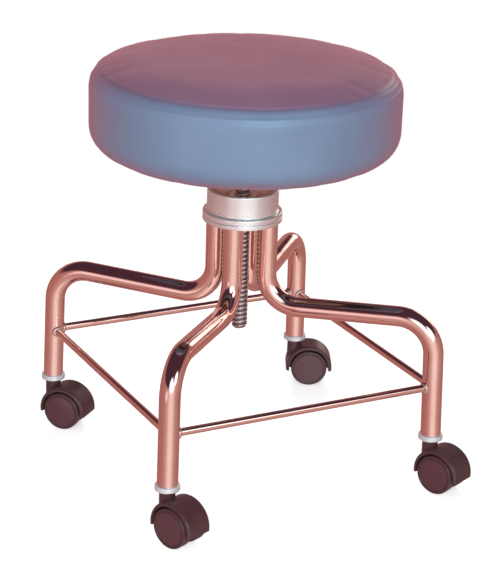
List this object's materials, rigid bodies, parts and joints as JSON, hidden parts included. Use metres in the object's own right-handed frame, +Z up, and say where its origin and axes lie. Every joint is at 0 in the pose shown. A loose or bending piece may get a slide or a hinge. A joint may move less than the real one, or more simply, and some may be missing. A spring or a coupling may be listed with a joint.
{
  "type": "rolling stool",
  "caption": "Low rolling stool: padded round seat on a lift screw, turned collar, bent plated tube legs with brace rods, and twin-wheel hooded casters.",
  "frame": {"origin": "on the floor, on the axis of the lift screw", "axes": "+Z up along the screw; the four legs lie along -Y (front), -X (left), +X (right) and +Y (back)"},
  "size_m": [0.5825, 0.5827, 0.523],
  "materials": {
    "tube_chrome": "polished",
    "satin_metal": "satin",
    "weld_metal": "satin",
    "steel": "satin",
    "nylon": "matte",
    "ply": "matte",
    "foam": "matte",
    "vinyl_top": "satin",
    "vinyl_side": "satin",
    "dust_cloth": "matte",
    "hood_plastic": "satin",
    "wheel_plastic": "satin"
  },
  "bodies": {
    "frame": {"leg_front": "tube_chrome", "leg_left": "tube_chrome", "leg_right": "tube_chrome", "leg_back": "tube_chrome", "brace_front_left": "tube_chrome", "brace_front_right": "tube_chrome", "brace_back_right": "tube_chrome", "brace_back_left": "tube_chrome", "brace_welds": "weld_metal", "foot_ring_front": "satin_metal", "foot_ring_left": "satin_metal", "foot_ring_right": "satin_metal", "foot_ring_back": "satin_metal", "stem_front": "steel", "stem_left": "steel", "stem_right": "steel", "stem_back": "steel", "hub_nut": "steel", "hub_sleeve": "tube_chrome", "hub_collar": "satin_metal"},
    "washer": {"lift_washer": "nylon"},
    "seat": {"lift_screw": "steel", "screw_boss": "steel", "seat_plate": "steel", "seat_bolts": "satin_metal", "tee_nuts": "steel", "seat_board": "ply", "seat_foam": "foam", "cover_top": "vinyl_top", "cover_band": "vinyl_side", "under_cloth": "dust_cloth"},
    "caster_front": {"hood_front": "hood_plastic", "axle_front": "steel"},
    "near_wheel_front": {"near_wheel_front": "wheel_plastic"},
    "far_wheel_front": {"far_wheel_front": "wheel_plastic"},
    "caster_left": {"hood_left": "hood_plastic", "axle_left": "steel"},
    "near_wheel_left": {"near_wheel_left": "wheel_plastic"},
    "far_wheel_left": {"far_wheel_left": "wheel_plastic"},
    "caster_right": {"hood_right": "hood_plastic", "axle_right": "steel"},
    "near_wheel_right": {"near_wheel_right": "wheel_plastic"},
    "far_wheel_right": {"far_wheel_right": "wheel_plastic"},
    "caster_back": {"hood_back": "hood_plastic", "axle_back": "steel"},
    "near_wheel_back": {"near_wheel_back": "wheel_plastic"},
    "far_wheel_back": {"far_wheel_back": "wheel_plastic"}
  },
  "joints": [
    {"name": "seat_lift", "type": "slide", "parent": "frame", "child": "washer", "axis": [0, 0, 1], "range_m": [-0.0301, 0.1321]},
    {"name": "seat_turn", "type": "hinge", "parent": "washer", "child": "seat", "pos_m": [0, 0, 0.3882], "axis": [0, 0, 1], "range_deg": [-1800, 7920]},
    {"name": "swivel_front", "type": "hinge", "parent": "frame", "child": "caster_front", "pos_m": [0, -0.256, 0.055], "axis": [0, 0, 1], "continuous": true},
    {"name": "roll_near_front", "type": "hinge", "parent": "caster_front", "child": "near_wheel_front", "pos_m": [0.01933, -0.26421, 0.025], "axis": [-0.3907, -0.9205, 0], "continuous": true},
    {"name": "roll_far_front", "type": "hinge", "parent": "caster_front", "child": "far_wheel_front", "pos_m": [0.01933, -0.26421, 0.025], "axis": [-0.3907, -0.9205, 0], "continuous": true},
    {"name": "swivel_left", "type": "hinge", "parent": "frame", "child": "caster_left", "pos_m": [-0.256, 0, 0.055], "axis": [0, 0, 1], "continuous": true},
    {"name": "roll_near_left", "type": "hinge", "parent": "caster_left", "child": "near_wheel_left", "pos_m": [-0.23505, -0.00146, 0.025], "axis": [-0.0698, -0.9976, 0], "continuous": true},
    {"name": "roll_far_left", "type": "hinge", "parent": "caster_left", "child": "far_wheel_left", "pos_m": [-0.23505, -0.00146, 0.025], "axis": [-0.0698, -0.9976, 0], "continuous": true},
    {"name": "swivel_right", "type": "hinge", "parent": "frame", "child": "caster_right", "pos_m": [0.256, 0, 0.055], "axis": [0, 0, 1], "continuous": true},
    {"name": "roll_near_right", "type": "hinge", "parent": "caster_right", "child": "near_wheel_right", "pos_m": [0.2756, -0.00753, 0.025], "axis": [-0.3584, -0.9336, 0], "continuous": true},
    {"name": "roll_far_right", "type": "hinge", "parent": "caster_right", "child": "far_wheel_right", "pos_m": [0.2756, -0.00753, 0.025], "axis": [-0.3584, -0.9336, 0], "continuous": true},
    {"name": "swivel_back", "type": "hinge", "parent": "frame", "child": "caster_back", "pos_m": [0, 0.256, 0.055], "axis": [0, 0, 1], "continuous": true},
    {"name": "roll_near_back", "type": "hinge", "parent": "caster_back", "child": "near_wheel_back", "pos_m": [0.01986, 0.26284, 0.025], "axis": [0.3256, -0.9455, 0], "continuous": true},
    {"name": "roll_far_back", "type": "hinge", "parent": "caster_back", "child": "far_wheel_back", "pos_m": [0.01986, 0.26284, 0.025], "axis": [0.3256, -0.9455, 0], "continuous": true}
  ],
  "couplings": [
    {"joint": "seat_lift", "follows": "seat_turn", "m_per_rad": 0.00095493}
  ]
}
